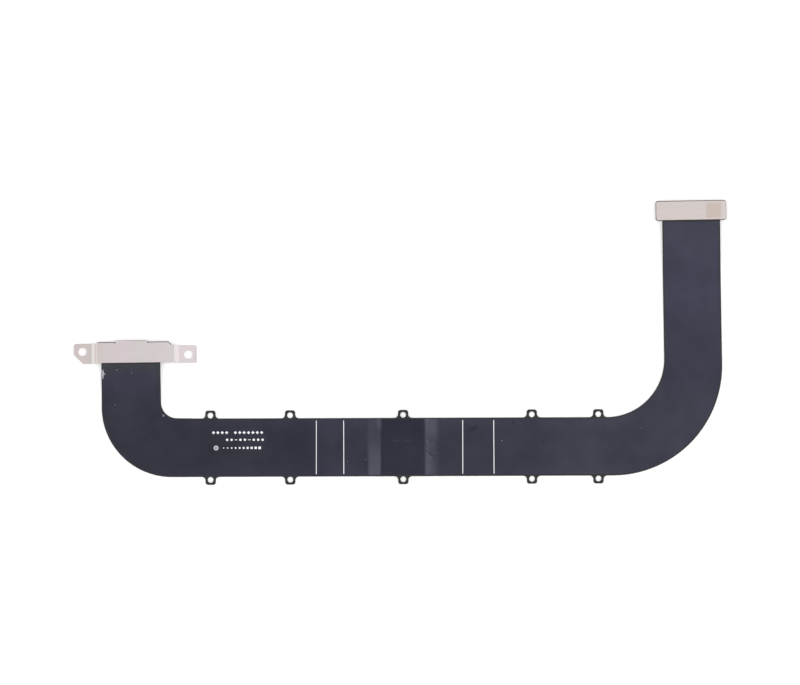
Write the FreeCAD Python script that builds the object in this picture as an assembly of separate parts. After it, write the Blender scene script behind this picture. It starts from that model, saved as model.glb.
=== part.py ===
import FreeCAD, Part
import math
import os

# Flat flexible circuit that joins two circuit boards across the hinge of a folding device.
# It lies face up on the table: X runs along the strap, Y points from the strap towards the two heads,
# Z is up. All sizes are millimetres. While it is drawn, the origin is on the table under the middle
# of the hinge; at the end everything moves so that the origin is under the middle of the whole part.

V = FreeCAD.Vector

# Strap and legs of the flexible circuit
flex_thickness = 0.25
strap_width = 10.8
left_leg_width = 10.9
right_leg_width = 10.7
left_leg_reach = 55.71       # hinge middle to the left leg's outer edge
right_leg_reach = 59.3       # hinge middle to the right leg's outer edge, where it meets the strap
right_leg_lean = 0.74        # degrees, the right leg's top leans towards the hinge
left_outer_radius = 13.1
left_inner_radius = 2.8
right_outer_radius = 20.0
right_inner_radius = 10.7

# Raised stretch over the hinge, formed into the strap by two shallow ramps
hinge_flat_length = 7.95
hinge_ramp_run = 2.5
hinge_rise = 0.35
hinge_crease_radius = 0.3    # crisp bend at the top of each ramp
hinge_toe_radius = 8.0       # soft bend at the foot of each ramp

# Locating tabs, in pairs on both edges of the strap
tab_spots = (-35.63, -20.9, 0.0, 23.8, 36.1)
tab_width = 1.9
tab_reach = 1.47
tab_corner_radius = 0.45
tab_root_radius = 0.65
tab_hole_diameter = 1.06
tab_hole_outset = 0.55       # hole centre beyond the strap's edge

# Board-to-board plug, the same at both ends
contact_pitch = 0.35
contacts_per_row = 28
contact_width = 0.15
contact_thickness = 0.06
contact_bevel = 0.045        # outside of the strip's bends over the rim
contact_tail = 0.25          # solder tail beyond the plug's side
plug_height = 0.65
plug_width = 2.1
plug_end_length = 1.1        # housing beyond the last contact's middle
plug_block_length = 0.7      # end block at the housing's full width and height
plug_wall = 0.36             # long wall that the contacts wrap
plug_web = 0.2               # floor of the mating groove
plug_corner_radius = 0.12
rim_setback = 0.01           # contact crests sit this far behind the end blocks' faces
hold_down_width = 1.1
hold_down_thickness = 0.1
hold_down_bevel = 0.07
hold_down_tail = 0.3
hold_down_seat = 0.45        # housing's end to the end of the mating groove

# Left head, its plug and the screw bracket over it
left_plug_distance = 17.75   # strap middle to plug middle
left_head_turn = 0.5         # degrees, the left head and its bracket on the leg
left_head_margin = 1.0       # circuit beyond each end of the plug
left_head_step = 0.67        # head stands out past the leg's outer edge
left_head_depth = 3.8
left_head_chamfer = 0.57
left_ramp_length = 6.4

sheet_thickness = 0.15
sheet_bend_radius = 0.1
bracket_left_margin = 0.16   # bracket plate beyond the head, left
bracket_right_margin = 0.54
bracket_front_cover = 0.05   # bracket plate beyond the head, front
bracket_rear_setback = 0.12  # head shows this far behind the plate
bracket_chamfer = 0.5        # down to the shoulder beside the right ear
bracket_shoulder = 0.63
ear_drop = 0.45
ear_joggle_run = 0.65
ear_corner_radius = 0.25
left_ear_length = 3.65
left_ear_depth = 3.74
left_ear_offset = -0.145     # ear middle from the plate's middle line, along Y
left_ear_chamfer = 1.7
left_ear_shoulder = 0.6      # ear's full depth carries on under the plate's corner
right_ear_length = 3.43
right_ear_depth = 3.27
right_ear_offset = -0.405
ear_hole_diameter = 1.55
left_ear_hole_inset = 1.63    # hole centre from the ear's free edge
left_ear_hole_offset = 0.34  # hole centre from the ear's middle line
right_ear_hole_inset = 1.6
right_ear_hole_offset = -0.125
lip_width = 5.9
lip_middle = -0.75           # lip middle from the plate's middle, along X
lip_drop = 0.5               # plate's top face to the lip's lower edge
lip_relief = 0.15
lip_bend_radius = 0.05
lip_clearance = 0.12         # lip stands this far behind the head

# Right head, its plug and the drawn cap over it
right_plug_distance = 43.55
right_head_margin = 0.45
right_head_depth = 3.2
right_ramp_length = 12.0
ramp_gap = 0.5               # level stretch between a ramp and the metal over the head
cap_height = 0.5
cap_clearance = 0.1
cap_edge_radius = 0.25
cap_corner_radius = 0.4
cap_entry_clearance = 0.1

# Worked out from the sizes above
half_strap = strap_width / 2
plug_length = (contacts_per_row - 1) * contact_pitch + 2 * plug_end_length
head_level = plug_height                       # underside of both heads
plate_level = head_level + flex_thickness      # underside of the metal over both heads
top_level = plate_level + sheet_thickness
reach = 2 * (left_leg_reach + right_leg_reach + right_plug_distance)   # larger than the whole part


def turn_between(before, corner, after):
    """Signed angle in radians that a path turns through at a corner; left turns are positive."""
    a = corner - before
    b = after - corner
    return math.atan2(a.x * b.y - a.y * b.x, a.x * b.x + a.y * b.y)


def path_edges(corners, radii, closed=False):
    """Straight runs joined by tangent arcs along the corners, in the XY plane."""
    count = len(corners)
    bends = []
    for i in range(count):
        corner = corners[i]
        before = corners[i - 1]
        after = corners[(i + 1) % count]
        open_end = not closed and i in (0, count - 1)
        turn = 0.0 if open_end else turn_between(before, corner, after)
        if radii[i] <= 0 or abs(turn) < 1e-6:
            bends.append((corner, None, corner))
            continue
        tangent = radii[i] * math.tan(abs(turn) / 2)
        start = corner + (before - corner).normalize() * tangent
        end = corner + (after - corner).normalize() * tangent
        to_middle = ((start + end) * 0.5 - corner).normalize()
        depth = radii[i] / math.cos(turn / 2) - radii[i]
        bends.append((start, corner + to_middle * depth, end))
    edges = []
    for i, (start, middle, end) in enumerate(bends):
        if middle is not None:
            edges.append(Part.Arc(start, middle, end).toShape())
        if i == count - 1 and not closed:
            continue
        following = bends[(i + 1) % count][0]
        if end.distanceToPoint(following) > 1e-6:
            edges.append(Part.LineSegment(end, following).toShape())
    return edges


def outline_face(corners, radii):
    """Flat face inside a closed path with rounded corners."""
    return Part.Face(Part.Wire(path_edges(corners, radii, closed=True)))


def prism(corners, radii, low, high):
    """Upright solid over a rounded outline, from level low to level high."""
    face = outline_face([V(x, y, 0) for x, y in corners], radii)
    face.translate(V(0, 0, low))
    return face.extrude(V(0, 0, high - low))


def block(x_low, x_high, y_low, y_high, z_low, z_high):
    return Part.makeBox(x_high - x_low, y_high - y_low, z_high - z_low, V(x_low, y_low, z_low))


def shifted_path(corners, distance):
    """The same path moved sideways to its left by a distance, corners mitred."""
    moved = []
    for i, corner in enumerate(corners):
        directions = []
        if i > 0:
            directions.append((corner - corners[i - 1]).normalize())
        if i < len(corners) - 1:
            directions.append((corners[i + 1] - corner).normalize())
        normals = [V(-d.y, d.x, 0) for d in directions]
        middle = sum(normals[1:], normals[0])
        middle = middle.normalize()
        moved.append(corner + middle * (distance / middle.dot(normals[0])))
    return moved


def sheet_section(points, inside_radii, thickness):
    """Face of a bent sheet seen edge on: points follow its right side, and bends keep their inside radius."""
    right_side = [V(a, b, 0) for a, b in points]
    left_side = shifted_path(right_side, thickness)
    right_radii = []
    left_radii = []
    for i, radius in enumerate(inside_radii):
        at_end = i in (0, len(points) - 1)
        turn = 0.0 if at_end else turn_between(right_side[i - 1], right_side[i], right_side[i + 1])
        right_radii.append(radius + thickness if turn > 0 else radius)
        left_radii.append(radius if turn > 0 else radius + thickness)
    corners = right_side + left_side[::-1]
    return outline_face(corners, right_radii + left_radii[::-1])


def along_y(section, y_low, y_high):
    """Section drawn in X and Z, carried along Y."""
    solid = section.extrude(V(0, 0, y_low - y_high))
    solid.rotate(V(0, 0, 0), V(1, 0, 0), 90)
    solid.translate(V(0, y_low, 0))
    return solid


def along_x(section, x_low, x_high):
    """Section drawn in Y and Z, carried along X."""
    solid = section.extrude(V(0, 0, x_high - x_low))
    solid.rotate(V(0, 0, 0), V(1, 1, 1), 120)
    solid.translate(V(x_low, 0, 0))
    return solid


def widest_bend(length, rise):
    """Radius with which two tangent arcs fill nearly the whole length of a ramp."""
    half_slope = math.atan2(rise, length / 2) / 2
    return 0.98 * length / 4 / math.tan(half_slope)


def right_leg_placement():
    """Carries the right leg's own frame (Y along the leg, from the strap's middle line) into place."""
    lean = math.radians(right_leg_lean)
    foot = right_leg_reach - right_leg_width / 2 / math.cos(lean) - half_strap * math.tan(lean)
    return FreeCAD.Placement(V(foot, 0, 0), FreeCAD.Rotation(V(0, 0, 1), right_leg_lean))


def left_head_box():
    """Left, right, front and rear of the left head; the plug is in its middle."""
    width = plug_length + 2 * left_head_margin
    left = -left_leg_reach - left_head_step
    middle = left_plug_distance
    return left, left + width, middle - left_head_depth / 2, middle + left_head_depth / 2


def left_head_placement():
    """Turns the left head, its plug and its bracket a little about the plug's middle."""
    left, right, front, rear = left_head_box()
    pivot = V((left + right) / 2, (front + rear) / 2, 0)
    return FreeCAD.Placement(V(0, 0, 0), FreeCAD.Rotation(V(0, 0, 1), left_head_turn), pivot)


def strip_outline():
    """Plan of the strap and both legs, without heads and tabs."""
    place = right_leg_placement()
    left_outer = -left_leg_reach
    left_inner = left_outer + left_leg_width
    inside_head = left_plug_distance
    half_leg = right_leg_width / 2
    lean = math.tan(math.radians(right_leg_lean))
    outer_top = place.multVec(V(half_leg, right_plug_distance, 0))
    inner_top = place.multVec(V(-half_leg, right_plug_distance, 0))
    outer_foot = outer_top.x + lean * (outer_top.y + half_strap)
    inner_foot = inner_top.x + lean * (inner_top.y - half_strap)
    corners = [
        (left_outer, inside_head),
        (left_outer, -half_strap),
        (outer_foot, -half_strap),
        (outer_top.x, outer_top.y),
        (inner_top.x, inner_top.y),
        (inner_foot, half_strap),
        (left_inner, half_strap),
        (left_inner, inside_head),
    ]
    radii = [0, left_outer_radius, right_outer_radius, 0, 0, right_inner_radius, left_inner_radius, 0]
    return corners, radii


def tab(spot, side):
    """One locating tab with its root fillets; side is 1 on the edge towards the heads, -1 on the other."""
    half = tab_width / 2
    root = half + tab_root_radius
    edge = half_strap
    inside = half_strap - tab_reach
    outline = [
        (-root, inside), (-root, edge), (-half, edge), (-half, edge + tab_reach),
        (half, edge + tab_reach), (half, edge), (root, edge), (root, inside),
    ]
    corners = [(spot + x, side * y) for x, y in outline]
    radii = [0, 0, tab_root_radius, tab_corner_radius, tab_corner_radius, tab_root_radius, 0, 0]
    return prism(corners, radii, -top_level, 2 * top_level)


def tab_hole(spot, side):
    base = V(spot, side * (half_strap + tab_hole_outset), -top_level)
    return Part.makeCylinder(tab_hole_diameter / 2, 3 * top_level, base, V(0, 0, 1))


def leg_slab(start, ramp_end, length, end):
    """Section of a leg, drawn along it: flat on the table, then a long ramp up to the head."""
    inside = widest_bend(length, head_level) - flex_thickness
    quarter = length / 4
    points = [(start, 0), (ramp_end - 3 * quarter, 0), (ramp_end - quarter, head_level), (end, head_level)]
    return sheet_section(points, [0, inside, inside, 0], flex_thickness)


def hinge_slab(low, high):
    """Section of the strap, drawn along it, with the raised stretch over the hinge."""
    crest = hinge_flat_length / 2
    foot = crest + hinge_ramp_run
    points = [(low, 0), (-foot, 0), (-crest, hinge_rise), (crest, hinge_rise), (foot, 0), (high, 0)]
    radii = [0, hinge_toe_radius, hinge_crease_radius, hinge_crease_radius, hinge_toe_radius, 0]
    return sheet_section(points, radii, flex_thickness)


def flex_circuit():
    """The laminated strip: plan outline, formed to its ramps, with its holes."""
    corners, radii = strip_outline()
    low = -top_level
    high = 2 * top_level
    left, right, front, rear = left_head_box()
    cut = left_head_chamfer
    left_head = prism(
        [(left, front), (right, front), (right, rear - cut), (right - cut, rear), (left, rear)],
        [0] * 5, low, high)
    left_head.Placement = left_head_placement()
    half_width = plug_length / 2 + right_head_margin
    middle = right_plug_distance
    half_depth = right_head_depth / 2
    inner_corner = cap_corner_radius - sheet_thickness
    right_head = prism(
        [(-half_width, middle - half_depth), (half_width, middle - half_depth),
         (half_width, middle + half_depth), (-half_width, middle + half_depth)],
        [inner_corner] * 4, low, high)
    right_head.Placement = right_leg_placement()
    tabs = [tab(spot, side) for spot in tab_spots for side in (1, -1)]
    plan = prism(corners, radii, low, high).fuse([left_head, right_head] + tabs)

    left_ramp_end = front - bracket_front_cover - ramp_gap
    cap_front = middle - half_depth - cap_clearance - sheet_thickness
    right_ramp_end = cap_front - ramp_gap
    left_leg = along_x(leg_slab(half_strap, left_ramp_end, left_ramp_length, 2 * rear), -reach, 0)
    right_leg = along_x(leg_slab(half_strap, right_ramp_end, right_ramp_length, 2 * middle), -reach, reach)
    right_leg.Placement = right_leg_placement().multiply(right_leg.Placement)
    right_leg = right_leg.common(block(0, reach, -reach, reach, low, high))
    strap = hinge_slab(-reach, reach)
    left_strap = along_y(strap, -reach, left_ramp_end - left_ramp_length)
    left_strap = left_strap.common(block(-reach, 0, -reach, reach, low, high))
    right_strap = along_y(strap, -reach, right_ramp_end - right_ramp_length)
    right_strap = right_strap.common(block(0, reach, -reach, reach, low, high))

    formed = left_strap.fuse([right_strap, left_leg, right_leg])
    circuit = plan.common(formed)
    holes = [tab_hole(spot, side) for spot in tab_spots for side in (1, -1)]
    return circuit.cut(holes).removeSplitter()


def bracket_plate_box():
    """Left, right, front and rear of the bracket's plate, from the head it covers."""
    left, right, front, rear = left_head_box()
    return (left - bracket_left_margin, right + bracket_right_margin,
            front - bracket_front_cover, rear - bracket_rear_setback)


def ear_hole_spots():
    """Centres of the two screw holes in the bracket's ears."""
    left, right, front, rear = bracket_plate_box()
    middle = (front + rear) / 2
    left_spot = (left - ear_joggle_run - left_ear_length + left_ear_hole_inset,
                 middle + left_ear_offset + left_ear_hole_offset)
    right_spot = (right + ear_joggle_run + right_ear_length - right_ear_hole_inset,
                  middle + right_ear_offset + right_ear_hole_offset)
    return left_spot, right_spot


def screw_bracket():
    """Pressed sheet over the left head, with an ear at each end stepped down to the board's posts."""
    left, right, front, rear = bracket_plate_box()
    middle = (front + rear) / 2
    left_end = left - ear_joggle_run - left_ear_length
    right_end = right + ear_joggle_run + right_ear_length
    ear_level = plate_level - ear_drop
    profile = [(left_end, ear_level), (left - ear_joggle_run, ear_level), (left, plate_level),
               (right, plate_level), (right + ear_joggle_run, ear_level), (right_end, ear_level)]
    radii = [0] + [sheet_bend_radius] * 4 + [0]
    sheet = along_y(sheet_section(profile, radii, sheet_thickness), front - reach, rear + reach)

    low = 0.0
    high = 2 * top_level
    cut = bracket_chamfer
    shoulder = right - bracket_shoulder
    plate = prism(
        [(left, front), (right, front), (right, rear - cut), (shoulder, rear - cut),
         (shoulder - cut, rear), (left, rear)],
        [0] * 6, low, high)
    ear_low = middle + left_ear_offset - left_ear_depth / 2
    ear_high = ear_low + left_ear_depth
    cut = left_ear_chamfer
    left_ear = prism(
        [(left_end + cut, ear_low), (left + left_ear_shoulder, ear_low),
         (left + left_ear_shoulder, middle), (left, middle), (left, ear_high),
         (left_end, ear_high), (left_end, ear_low + cut)],
        [ear_corner_radius, 0, 0, 0, 0, 2 * ear_corner_radius, ear_corner_radius], low, high)
    ear_low = middle + right_ear_offset - right_ear_depth / 2
    ear_high = ear_low + right_ear_depth
    right_ear = prism(
        [(right, ear_low), (right_end, ear_low), (right_end, ear_high), (right, ear_high)],
        [0, ear_corner_radius, ear_corner_radius, 0], low, high)
    bracket = sheet.common(plate.fuse([left_ear, right_ear]))

    lip_centre = (left + right) / 2 + lip_middle
    lip_low = lip_centre - lip_width / 2
    lip_high = lip_centre + lip_width / 2
    lip_face = left_head_box()[3] + lip_clearance
    lip_profile = [(rear - sheet_thickness, plate_level), (lip_face, plate_level),
                   (lip_face, top_level - lip_drop)]
    lip = along_x(sheet_section(lip_profile, [0, lip_bend_radius, 0], sheet_thickness), lip_low, lip_high)
    reliefs = [
        block(x, x + lip_relief, rear - lip_relief, rear + lip_relief, low, high)
        for x in (lip_low - lip_relief, lip_high)
    ]
    holes = [
        Part.makeCylinder(ear_hole_diameter / 2, high, V(x, y, 0), V(0, 0, 1))
        for x, y in ear_hole_spots()
    ]
    bracket = bracket.fuse(lip).cut(reliefs + holes).removeSplitter()
    bracket.Placement = left_head_placement()
    return bracket


def connector_cap():
    """Drawn tray over the right head, open below, with a wide entry for the leg in its front wall."""
    cavity_half_width = plug_length / 2 + right_head_margin + cap_clearance
    cavity_half_depth = right_head_depth / 2 + cap_clearance
    half_width = cavity_half_width + sheet_thickness
    half_depth = cavity_half_depth + sheet_thickness
    bottom = top_level - cap_height

    def tray(half_x, half_y, corner, low, high, edge):
        body = prism([(-half_x, -half_y), (half_x, -half_y), (half_x, half_y), (-half_x, half_y)],
                     [corner] * 4, low, high)
        rim = [e for e in body.Edges if abs(e.BoundBox.ZMin - high) < 1e-6]
        return body.makeFillet(edge, rim)

    outer = tray(half_width, half_depth, cap_corner_radius, bottom, top_level, cap_edge_radius)
    inner = tray(cavity_half_width, cavity_half_depth, cap_corner_radius - sheet_thickness,
                 bottom - sheet_thickness, plate_level, cap_edge_radius - sheet_thickness)
    half_entry = right_leg_width / 2 + cap_entry_clearance
    entry = block(-half_entry, half_entry, -2 * half_depth, 0, bottom - sheet_thickness, plate_level)
    cap = outer.cut([inner, entry])
    cap.translate(V(0, right_plug_distance, 0))
    cap.Placement = right_leg_placement().multiply(cap.Placement)
    return cap


def clip_section(outside, inside, tail, thickness, bevel, crest, inner_end):
    """Strip wrapped over a wall, seen edge on: solder tail, outside run, bevelled crest, inside run."""
    corners = [
        (outside + tail, 0), (outside + tail, -thickness), (outside, -thickness),
        (outside, bevel - crest), (outside - bevel, -crest),
        (inside + bevel, -crest), (inside, bevel - crest), (inside, -inner_end),
        (inside + thickness, -inner_end), (inside + thickness, thickness - crest),
        (outside - thickness, thickness - crest), (outside - thickness, 0),
    ]
    return outline_face([V(a, b, 0) for a, b in corners], [0] * len(corners))


def plug_parts():
    """Housing, two rows of contacts and two hold-downs, hanging below the circuit at the origin."""
    half_length = plug_length / 2
    half_width = plug_width / 2
    wall_outer = half_width - contact_thickness
    wall_inner = wall_outer - plug_wall
    crest = plug_height - rim_setback
    below = -2 * plug_height

    contact = clip_section(half_width, wall_inner - contact_thickness, contact_tail,
                           contact_thickness, contact_bevel, crest, plug_web)
    first = -(contacts_per_row - 1) * contact_pitch / 2
    rear_row = []
    for i in range(contacts_per_row):
        x = first + i * contact_pitch
        rear_row.append(along_x(contact, x - contact_width / 2, x + contact_width / 2))
    front_row = [c.mirror(V(0, 0, 0), V(0, 1, 0)) for c in rear_row]

    groove_half = half_length - hold_down_seat
    end_clip = clip_section(half_length, groove_half - hold_down_thickness, hold_down_tail,
                            hold_down_thickness, hold_down_bevel, plug_height, plug_web)
    right_clip = along_y(end_clip, -hold_down_width / 2, hold_down_width / 2)
    left_clip = right_clip.mirror(V(0, 0, 0), V(1, 0, 0))

    housing = prism(
        [(-half_length, -half_width), (half_length, -half_width),
         (half_length, half_width), (-half_length, half_width)],
        [plug_corner_radius] * 4, -plug_height, 0)
    groove = block(-groove_half, groove_half, -wall_inner, wall_inner, below, -plug_web)
    middle = half_length - plug_block_length
    rims = block(-middle, middle, -half_width, half_width, below, contact_thickness - crest)
    sides = [
        block(-middle, middle, *sorted((side * wall_outer, side * 2 * half_width)), below, 0)
        for side in (1, -1)
    ]
    housing = housing.cut([groove, rims, right_clip, left_clip] + sides)
    return {
        "housing": housing,
        "rear_contacts": Part.makeCompound(rear_row),
        "front_contacts": Part.makeCompound(front_row),
        "left_hold_down": left_clip,
        "right_hold_down": right_clip,
    }


def build():
    """Every piece by name, where it lies on the table under the hinge's middle."""
    pieces = {
        "flex_circuit": flex_circuit(),
        "screw_bracket": screw_bracket(),
        "connector_cap": connector_cap(),
    }
    left, right, front, rear = left_head_box()
    seats = {
        "left_plug": left_head_placement().multiply(
            FreeCAD.Placement(V((left + right) / 2, (front + rear) / 2, head_level), FreeCAD.Rotation())),
        "right_plug": right_leg_placement().multiply(
            FreeCAD.Placement(V(0, right_plug_distance, head_level), FreeCAD.Rotation())),
    }
    for plug, seat in seats.items():
        for name, shape in plug_parts().items():
            placed = shape.copy()
            placed.Placement = seat.multiply(placed.Placement)
            pieces[plug + "_" + name] = placed
    return pieces


def main():
    pieces = build()
    whole = Part.makeCompound(list(pieces.values())).BoundBox
    shift = V(-(whole.XMin + whole.XMax) / 2, -(whole.YMin + whole.YMax) / 2, -whole.ZMin)
    os.makedirs("parts", exist_ok=True)
    for name, shape in pieces.items():
        shape.translate(shift)
        shape.exportStep("parts/" + name + ".step")
    print("shift", shift)


main()
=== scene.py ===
import math

import bmesh
import bpy
import numpy as np
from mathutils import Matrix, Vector, geometry, kdtree, noise


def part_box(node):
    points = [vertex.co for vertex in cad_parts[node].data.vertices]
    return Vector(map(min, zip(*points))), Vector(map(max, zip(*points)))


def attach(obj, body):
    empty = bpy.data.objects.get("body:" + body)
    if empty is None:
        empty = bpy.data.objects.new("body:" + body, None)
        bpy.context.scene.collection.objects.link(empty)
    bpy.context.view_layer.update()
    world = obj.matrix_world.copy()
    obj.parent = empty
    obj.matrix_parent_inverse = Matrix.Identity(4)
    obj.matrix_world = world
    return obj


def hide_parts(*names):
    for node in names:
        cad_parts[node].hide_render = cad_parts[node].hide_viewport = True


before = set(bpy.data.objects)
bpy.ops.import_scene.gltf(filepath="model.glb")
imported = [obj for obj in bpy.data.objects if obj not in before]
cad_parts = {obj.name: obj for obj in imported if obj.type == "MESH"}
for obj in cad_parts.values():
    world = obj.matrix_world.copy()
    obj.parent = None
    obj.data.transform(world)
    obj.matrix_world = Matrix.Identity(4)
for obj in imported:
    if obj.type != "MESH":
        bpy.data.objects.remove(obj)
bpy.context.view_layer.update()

# Sizes in millimetres, drawn about the middle of the hinge: X along the strap, Y towards the heads.
MM = 0.001
THICKNESS = 0.25
STRAP_WIDTH = 10.8
LEFT_LEG_REACH, LEFT_LEG_WIDTH = 55.71, 10.9
RIGHT_LEG_REACH, RIGHT_LEG_WIDTH, RIGHT_LEG_LEAN = 59.3, 10.7, 0.74
LEFT_OUTER_R, LEFT_INNER_R, RIGHT_OUTER_R, RIGHT_INNER_R = 12.95, 2.95, 20.25, 10.7
FOOT_SPREAD, INNER_SPREAD = 0.06, 0.12   # how far the left leg's foot and its inner corner have crept outwards
# how each hinge ramp was pressed, by Y: where it folds, how far and how deep its steeper first part goes,
# where its foot is and how soft, and how high it rises
HINGE_Y = (-4.4, -2.2, 0.0, 1.6, 2.8, 4.4)
LEFT_HINGE = {"crest": (4.1, 4.06, 4.07, 4.05, 3.96, 3.92), "soft": (0.4, 0.42, 0.45, 0.45, 0.45, 0.36),
              "lip": (0.5, 0.5, 0.5, 0.5, 0.6, 0.9), "drop": (0.087, 0.087, 0.066, 0.061, 0.061, 0.126),
              "foot": (6.53, 6.6, 6.69, 6.69, 6.69, 6.66), "toe": (0.3, 0.3, 0.35, 0.4, 0.4, 0.4),
              "rise": (0.41, 0.395, 0.315, 0.262, 0.245, 0.28)}
RIGHT_HINGE = {"crest": (4.07, 4.07, 4.07, 4.07, 4.07, 4.07), "soft": (0.24, 0.24, 0.24, 0.24, 0.24, 0.24),
               "lip": (0.9, 0.9, 0.8, 0.4, 0.4, 0.4), "drop": (0.159, 0.142, 0.119, 0.06, 0.07, 0.085),
               "foot": (6.2, 6.2, 6.1, 6.25, 6.28, 6.3), "toe": (0.6, 0.6, 0.5, 0.4, 0.5, 0.5),
               "rise": (0.276, 0.232, 0.212, 0.206, 0.318, 0.317)}
LIP_SOFTNESS = 0.15
CREASE_LINES = (-0.42, -0.22, 0.0, 0.2, 0.4, 0.7, 1.1, 1.5, 1.9, 2.2, 2.5, 2.8, 3.3)    # mesh lines about each fold
TAB_DROOP = 0.85             # share of the rise that the tabs over the hinge lose towards their ends
DROOP_START, DROOP_RUN = 0.5, 1.1        # where that begins, inside the strap's edge, and over what length
TAB_SPOTS = (-35.63, -20.9, 0.0, 23.8, 36.1)
TAB_WIDTH, TAB_REACH, TAB_CORNER_R, TAB_ROOT_R = 1.9, 1.47, 0.45, 0.65
TAB_HOLE_R, TAB_HOLE_OUTSET = 0.53, 0.55
HEAD_LEVEL = 0.65
PLUG_LENGTH, PLUG_WIDTH = 11.65, 2.1
CONTACTS, CONTACT_PITCH, CONTACT_WIDTH, CONTACT_SHEET, CONTACT_TAIL = 28, 0.35, 0.15, 0.06, 0.25
PLUG_WALL, GROOVE_FLOOR, CREST_SETBACK = 0.36, 0.2, 0.01
HOLD_WIDTH, HOLD_SHEET, HOLD_TAIL, HOLD_SEAT = 1.1, 0.1, 0.3, 0.45
LEFT_PLUG_Y, LEFT_HEAD_MARGIN, LEFT_HEAD_STEP, LEFT_HEAD_DEPTH, LEFT_HEAD_CUT = 17.75, 1.0, 0.67, 3.8, 0.57
LEFT_HEAD_TURN = 0.5
RIGHT_PLUG_Y, RIGHT_HEAD_MARGIN, RIGHT_HEAD_DEPTH, RIGHT_HEAD_R = 43.55, 0.45, 3.2, 0.25
LEFT_RAMP_END, LEFT_RAMP_LENGTH = 15.3, 6.4
RIGHT_RAMP_END, RIGHT_RAMP_LENGTH = 41.2, 12.0
RAMP_BEND = 0.98             # how much of its room each bend of a leg's ramp takes
FAR = 200.0                  # well past every end of the circuit
FILM_PAST_RAMPS = 0.52             # shield film's reach past the ramps; less its inset it stops short of the bracket and the cap, and the bare cover layer left there is a painted shadow under their front edges
FILM_INSET = 0.24            # shield film's edge behind the circuit's edge
FILM_STEP, FILM_STEP_RUN = 0.018, 0.03   # shield film over the cover layer, and the run of its rounded edge
EDGE_EASE = 0.015            # broken edge of the punched outline
GRID, GRID_ROW, GRID_CLEAR = 0.36, 0.87, 0.55      # spacing of the film's own points, and shares of it: row, gap
FOLD_LINE_END, FOLD_LINE_CUTS, DENT_CUTS = 5.0, 29, 9
HOLE_PARTS, HOLE_ROOM = 28, 1.0          # points round a tab's hole, and half the square that a hole is looked for in
DENTS = (((4.05, -0.75), (5.75, -2.3)), ((4.3, 1.0), (5.8, 0.85)))    # nail marks on the hinge's right slope
DENT_DEPTH, DENT_HALF, DENT_END = 0.035, 0.2, 0.3        # depth, half width and length of the run-out
RIPPLE, RIPPLE_MOST = 0.03, 0.08         # usual and greatest lift of the film off the table

# white check marks on the strap: first X, Y and pitch of the diamonds, of the dots and of the step wedge
DIAMONDS, DOTS, WEDGE = (-35.07, 2.78, 0.81), (-32.55, 1.45, 0.82), (-33.2, -0.05, 0.74)
DIAMOND_HALF, DOT_HALF, DASH_HALF = 0.29, 0.22, 0.24
AIM, AIM_R, AIM_DOT_R = (-34.6, -0.05), 0.42, 0.13
INK_STROKE, INK_LIFT, INK_ROOT = 0.12, 0.012, 0.02       # stroke, height over the film and depth into it
# bend lines: X at the lower and at the upper edge of the strap, and width
BEND_LINES = ((-16.084, -16.038, 0.128), (-11.0, -10.996, 0.137), (11.005, 11.02, 0.137), (16.785, 16.748, 0.14))
BEND_LINE_END, BEND_LINE_CUTS = 4.95, 12

# worn spot on the left leg's edge: points and widths
NICKS = ((((-55.33, 14.6), (-55.38, 14.1), (-55.40, 13.6), (-55.42, 13.1), (-55.43, 12.7)),
          (0.03, 0.12, 0.20, 0.15, 0.03)),
         (((-55.72, 14.45), (-55.55, 14.2), (-55.42, 13.95)), (0.05, 0.22, 0.1)),
         (((-55.4, 14.0), (-55.15, 13.75), (-54.95, 13.55)), (0.12, 0.13, 0.03)),
         (((-55.6, 13.9), (-55.53, 13.6), (-55.5, 13.3)), (0.05, 0.09, 0.03)))
# chip in the left leg's inner corner, and dust: place, size and turn
CHIP = ((-44.36, 5.86, 0.19, 0.3), (-44.22, 6.04, 0.16, 1.1), (-44.45, 6.1, 0.12, 0.7))
DUST = ((-52.85, 14.45, 0.165, 0.2), (-50.15, 13.9, 0.12, 0.9), (-53.25, 7.95, 0.09, 1.7), (-10.35, -2.6, 0.1, 0.4),
        (-6.9, -2.3, 0.1, 1.3), (18.3, 1.1, 0.14, 0.1), (-46.9, 0.5, 0.06, 0.3), (30.4, -3.1, 0.06, 1.2),
        (44.0, 3.4, 0.07, 2.4))
# rubbed streaks, and three painted highlight lines along the strap's lower edge: points and width
RUBS_AND_HIGHLIGHT_LINES = ((((-2.1, 1.12), (-1.2, 1.16), (-0.5, 1.12)), 0.13), (((-0.1, 1.1), (0.8, 1.17), (1.6, 1.15)), 0.12),
        (((-3.4, -4.68), (-2.6, -4.7), (-1.7, -4.69)), 0.1), (((2.4, -4.66), (5.0, -4.68), (7.4, -4.65)), 0.1),
        (((-7.9, -4.95), (-7.5, -4.97), (-7.0, -4.95)), 0.2), (((5.9, -0.9), (6.25, -1.05), (6.6, -1.02)), 0.3),
        (((56.6, 37.12), (57.05, 37.1), (57.5, 37.14)), 0.25), (((56.9, 32.6), (57.3, 32.62)), 0.2),
        (((-55.2, 14.25), (-54.3, 14.3), (-53.3, 14.45)), 0.09))
# oily smudges on the film: place, size and turn
SMUDGES = ((12.6, 3.2, 1.6, 0.2), (13.4, 3.6, 1.2, 1.0), (11.9, 2.6, 0.9, 2.1), (20.3, 4.4, 0.9, 0.4),
           (26.0, 1.1, 0.8, 1.1))
FLAKE_REACH, FLAKE_TURN = (0.6, 0.4, 0.55, 0.35, 0.5), 1.257     # corners of a flake, about a fifth of a turn apart
# bared patch on the cap: place from the plug's middle, half sizes, and how far its edge fades into the plating
PATCH_SPOT, PATCH_HALF, PATCH_FADE = (4.18, -0.06), (1.37, 1.38), 0.25

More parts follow.
